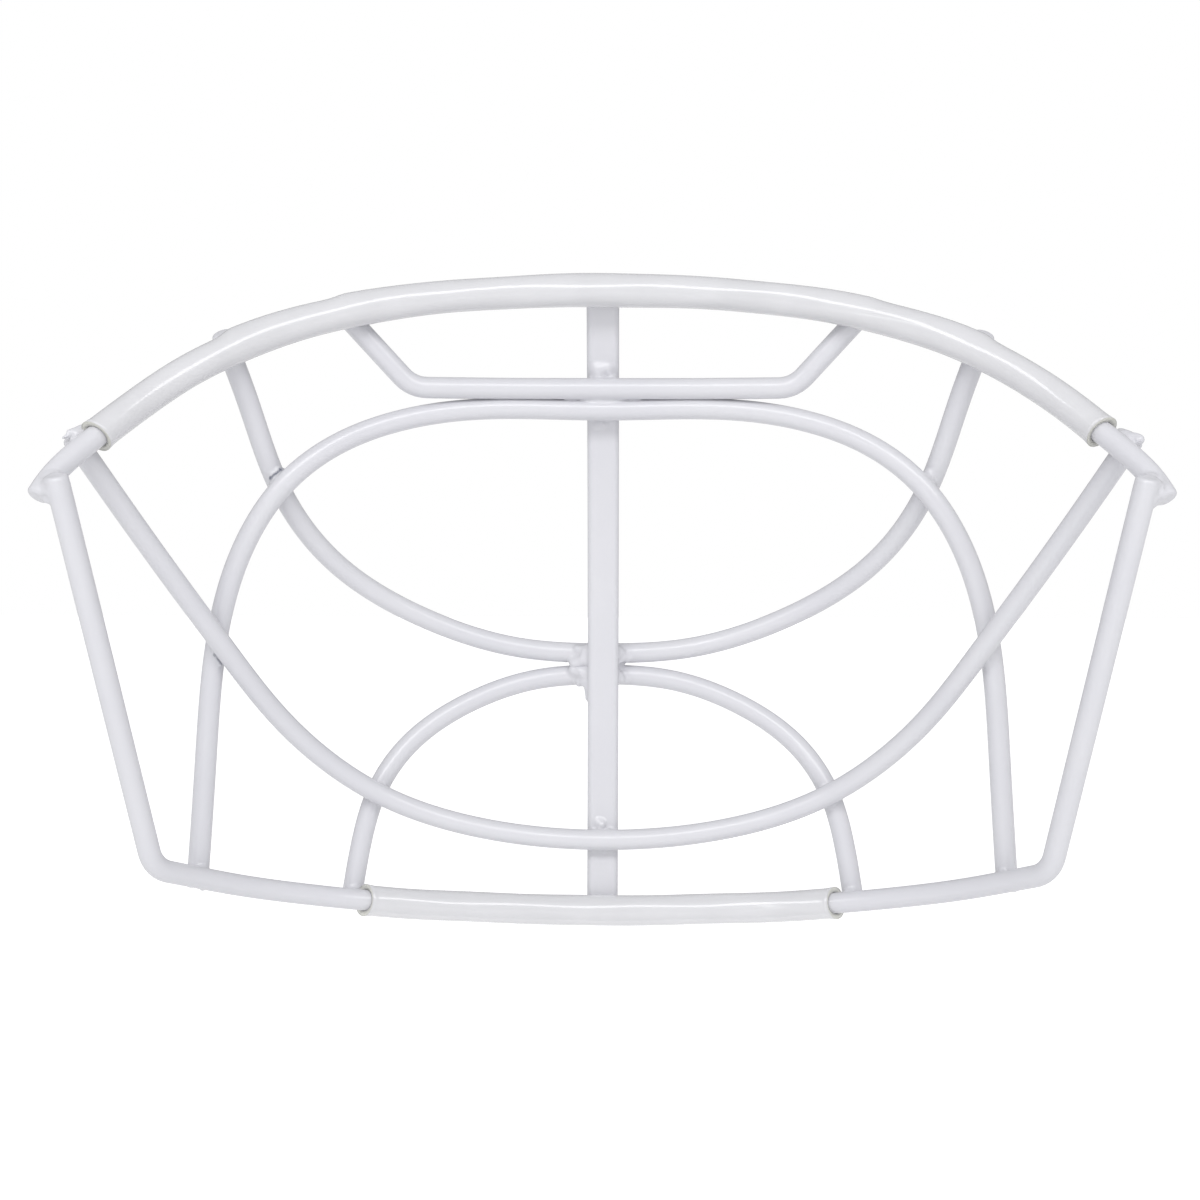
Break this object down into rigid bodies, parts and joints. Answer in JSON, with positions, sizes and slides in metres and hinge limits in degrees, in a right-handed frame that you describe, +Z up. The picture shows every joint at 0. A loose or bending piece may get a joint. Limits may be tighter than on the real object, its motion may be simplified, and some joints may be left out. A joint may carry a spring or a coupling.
{
  "type": "goalie mask cage",
  "caption": "Welded steel wire cage of an ice hockey goalie mask: cat-eye eye opening, flat centre bar, clear vinyl tubes on its forehead and chin bars.",
  "frame": {"origin": "centre of the cage's outer box, on its plane of symmetry", "axes": "+X towards the wearer's left, -Y forward out of the face, +Z up"},
  "size_m": [0.2396, 0.0813, 0.1566],
  "materials": {
    "powder_coat": "white gloss powder coat over steel wire",
    "weld_coat": "white gloss powder coat over weld metal",
    "clear_vinyl": "clear soft vinyl tube, slightly milky"
  },
  "bodies": {
    "root": {"forehead_bar": "powder_coat", "lower_frame_bar": "powder_coat", "centre_bar": "powder_coat", "brow_wire": "powder_coat", "eye_arch_wire": "powder_coat", "lower_eye_wire": "powder_coat", "cheek_wire": "powder_coat", "mouth_arch_wire": "powder_coat", "weld_forehead_centre": "weld_coat", "weld_forehead_brow": "weld_coat", "weld_forehead_lower_eye": "weld_coat", "weld_forehead_cheek": "weld_coat", "weld_forehead_side": "weld_coat", "weld_chin_centre": "weld_coat", "weld_chin_arch": "weld_coat", "weld_chin_mouth": "weld_coat", "weld_centre_brow": "weld_coat", "weld_centre_arch": "weld_coat", "weld_centre_lower_eye": "weld_coat", "weld_centre_mouth": "weld_coat", "weld_centre_cheek": "weld_coat", "weld_arch_lower_eye": "weld_coat", "weld_arch_cheek": "weld_coat", "weld_mouth_cheek": "weld_coat", "forehead_sleeve": "clear_vinyl", "chin_sleeve": "clear_vinyl"}
  },
  "joints": []
}
